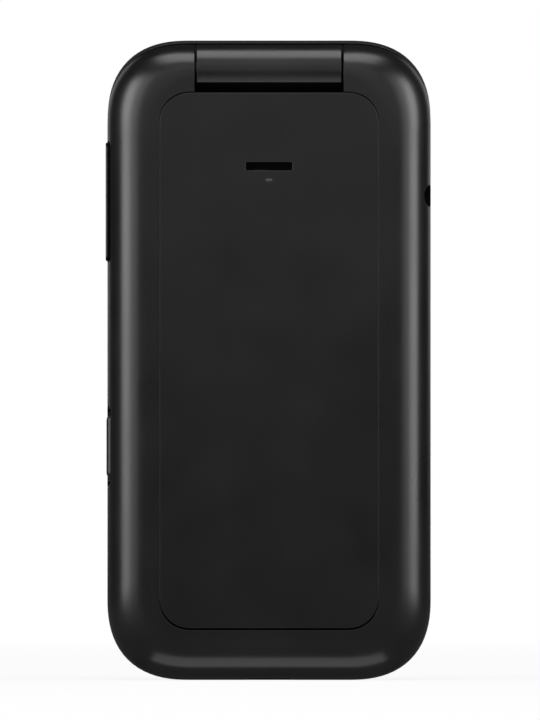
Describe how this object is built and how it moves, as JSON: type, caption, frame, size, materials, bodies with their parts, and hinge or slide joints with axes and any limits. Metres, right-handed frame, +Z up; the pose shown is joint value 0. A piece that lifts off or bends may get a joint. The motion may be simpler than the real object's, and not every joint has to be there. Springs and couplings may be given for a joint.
{
  "type": "flip phone",
  "caption": "Folding mobile phone with rounded black shell, lid on a spring hinge at the top, keypad, side keys, sockets and a lift-off battery cover; stored shut, standing on its lower end.",
  "frame": {"origin": "middle of the flat lower end, at the bottom of the closed phone", "axes": "+Z up along the length towards the hinge, +Y out of the battery cover (the back, as pictured), -Y out of the lid's outer face, +X towards the side with the volume key"},
  "size_m": [0.0553, 0.019, 0.1088],
  "materials": {
    "black_housing": "moulded plastic, satin, very fine grain",
    "black_cover": "moulded plastic, satin, very fine grain",
    "black_fascia": "moulded plastic, satin",
    "black_side_key": "moulded plastic, satin",
    "key_plastic": "moulded plastic caps, satin, light printed legends",
    "black_window": "hard-coated clear acrylic printed black behind",
    "display_glass": "display panel, switched off",
    "lens_glass": "coated lens glass",
    "flash_plastic": "frosted yellowish plastic lens",
    "black_inner": "plain moulded plastic",
    "black_mesh": "fine woven dust mesh",
    "black_rubber": "soft rubber",
    "clear_rubber": "translucent silicone",
    "battery_label": "printed film over an aluminium can",
    "circuit_board": "solder-resist over glass-fibre laminate",
    "dome_film": "polyester film over steel domes",
    "sheet_steel": "bright plated steel",
    "spring_steel": "spring steel wire",
    "gold_contacts": "gold-plated copper alloy",
    "flex_film": "amber polyimide film"
  },
  "bodies": {
    "base": {"rear_housing": "black_housing", "keypad_fascia": "black_fascia", "battery_contacts": "gold_contacts", "main_board": "circuit_board", "dome_sheet": "dome_film", "shield_can": "sheet_steel", "sim_holder": "sheet_steel", "loudspeaker": "black_inner", "speaker_mesh": "black_mesh", "headset_jack": "black_inner", "usb_socket": "sheet_steel", "vibration_motor": "sheet_steel", "microphone": "sheet_steel", "antenna": "gold_contacts", "side_switches": "sheet_steel", "base_screws": "sheet_steel", "hinge_shaft": "sheet_steel", "hinge_bush": "black_inner"},
    "lid": {"lid_outer_housing": "black_housing", "lid_inner_housing": "black_fascia", "outer_window": "black_window", "outer_display": "display_glass", "inner_window": "black_window", "inner_display": "display_glass", "lid_board": "circuit_board", "earpiece": "black_inner", "earpiece_mesh": "black_mesh", "camera_module": "black_inner", "camera_glass": "lens_glass", "flash_lens": "flash_plastic", "lid_bumpers": "black_rubber", "lid_screws": "sheet_steel", "hinge_barrel": "black_housing", "hinge_case": "sheet_steel", "hinge_follower": "sheet_steel", "hinge_spring": "spring_steel", "hinge_flex": "flex_film"},
    "battery_cover": {"battery_cover": "black_cover"},
    "battery": {"battery": "battery_label"},
    "volume_key": {"volume_key": "black_side_key"},
    "emergency_key": {"emergency_key": "black_side_key"},
    "nav_carrier": {"nav_carrier": "clear_rubber"},
    "nav_ring": {"nav_ring": "key_plastic"},
    "soft_key_left": {"soft_key_left": "key_plastic"},
    "soft_key_right": {"soft_key_right": "key_plastic"},
    "call_key": {"call_key": "key_plastic"},
    "end_key": {"end_key": "key_plastic"},
    "select_key": {"select_key": "key_plastic"},
    "key_1": {"key_1": "key_plastic"},
    "key_2": {"key_2": "key_plastic"},
    "key_3": {"key_3": "key_plastic"},
    "key_4": {"key_4": "key_plastic"},
    "key_5": {"key_5": "key_plastic"},
    "key_6": {"key_6": "key_plastic"},
    "key_7": {"key_7": "key_plastic"},
    "key_8": {"key_8": "key_plastic"},
    "key_9": {"key_9": "key_plastic"},
    "key_star": {"key_star": "key_plastic"},
    "key_0": {"key_0": "key_plastic"},
    "key_hash": {"key_hash": "key_plastic"}
  },
  "joints": [
    {"name": "lid_hinge", "type": "hinge", "parent": "base", "child": "lid", "pos_m": [0, 0.0049, 0.1036], "axis": [-1, 0, 0], "range_deg": [0, 160]},
    {"name": "battery_cover_lift", "type": "slide", "parent": "base", "child": "battery_cover", "axis": [0, 1, 0], "range_m": [0, 0.02]},
    {"name": "battery_lift", "type": "slide", "parent": "base", "child": "battery", "axis": [0, 1, 0], "range_m": [0, 0.01]},
    {"name": "volume_rock", "type": "hinge", "parent": "base", "child": "volume_key", "pos_m": [0.0241, 0.0042, 0.0813], "axis": [0, 1, 0], "range_deg": [-1.8, 1.8], "stiffness_Nm_per_rad": 0.35},
    {"name": "emergency_press", "type": "slide", "parent": "base", "child": "emergency_key", "axis": [-1, 0, 0], "range_m": [0, 0.0003], "stiffness_N_per_m": 6000},
    {"name": "nav_tilt_x", "type": "hinge", "parent": "base", "child": "nav_carrier", "pos_m": [0, 0.0018, 0.073], "axis": [0, 0, 1], "range_deg": [-1, 1], "stiffness_Nm_per_rad": 0.5},
    {"name": "nav_tilt_z", "type": "hinge", "parent": "nav_carrier", "child": "nav_ring", "pos_m": [0, 0.0012, 0.073], "axis": [1, 0, 0], "range_deg": [-1, 1], "stiffness_Nm_per_rad": 0.5},
    {"name": "soft_key_left_press", "type": "slide", "parent": "base", "child": "soft_key_left", "axis": [0, 1, 0], "range_m": [0, 0.0002], "stiffness_N_per_m": 5000},
    {"name": "soft_key_right_press", "type": "slide", "parent": "base", "child": "soft_key_right", "axis": [0, 1, 0], "range_m": [0, 0.0002], "stiffness_N_per_m": 5000},
    {"name": "call_key_press", "type": "slide", "parent": "base", "child": "call_key", "axis": [0, 1, 0], "range_m": [0, 0.0002], "stiffness_N_per_m": 5000},
    {"name": "end_key_press", "type": "slide", "parent": "base", "child": "end_key", "axis": [0, 1, 0], "range_m": [0, 0.0002], "stiffness_N_per_m": 5000},
    {"name": "select_press", "type": "slide", "parent": "base", "child": "select_key", "axis": [0, 1, 0], "range_m": [0, 0.0002], "stiffness_N_per_m": 5000},
    {"name": "key_1_press", "type": "slide", "parent": "base", "child": "key_1", "axis": [0, 1, 0], "range_m": [0, 0.0002], "stiffness_N_per_m": 5000},
    {"name": "key_2_press", "type": "slide", "parent": "base", "child": "key_2", "axis": [0, 1, 0], "range_m": [0, 0.0002], "stiffness_N_per_m": 5000},
    {"name": "key_3_press", "type": "slide", "parent": "base", "child": "key_3", "axis": [0, 1, 0], "range_m": [0, 0.0002], "stiffness_N_per_m": 5000},
    {"name": "key_4_press", "type": "slide", "parent": "base", "child": "key_4", "axis": [0, 1, 0], "range_m": [0, 0.0002], "stiffness_N_per_m": 5000},
    {"name": "key_5_press", "type": "slide", "parent": "base", "child": "key_5", "axis": [0, 1, 0], "range_m": [0, 0.0002], "stiffness_N_per_m": 5000},
    {"name": "key_6_press", "type": "slide", "parent": "base", "child": "key_6", "axis": [0, 1, 0], "range_m": [0, 0.0002], "stiffness_N_per_m": 5000},
    {"name": "key_7_press", "type": "slide", "parent": "base", "child": "key_7", "axis": [0, 1, 0], "range_m": [0, 0.0002], "stiffness_N_per_m": 5000},
    {"name": "key_8_press", "type": "slide", "parent": "base", "child": "key_8", "axis": [0, 1, 0], "range_m": [0, 0.0002], "stiffness_N_per_m": 5000},
    {"name": "key_9_press", "type": "slide", "parent": "base", "child": "key_9", "axis": [0, 1, 0], "range_m": [0, 0.0002], "stiffness_N_per_m": 5000},
    {"name": "key_star_press", "type": "slide", "parent": "base", "child": "key_star", "axis": [0, 1, 0], "range_m": [0, 0.0002], "stiffness_N_per_m": 5000},
    {"name": "key_0_press", "type": "slide", "parent": "base", "child": "key_0", "axis": [0, 1, 0], "range_m": [0, 0.0002], "stiffness_N_per_m": 5000},
    {"name": "key_hash_press", "type": "slide", "parent": "base", "child": "key_hash", "axis": [0, 1, 0], "range_m": [0, 0.0002], "stiffness_N_per_m": 5000}
  ],
  "couplings": [
    {"joint": "battery_lift", "follows": "battery_cover_lift", "ratio": 0.5}
  ]
}
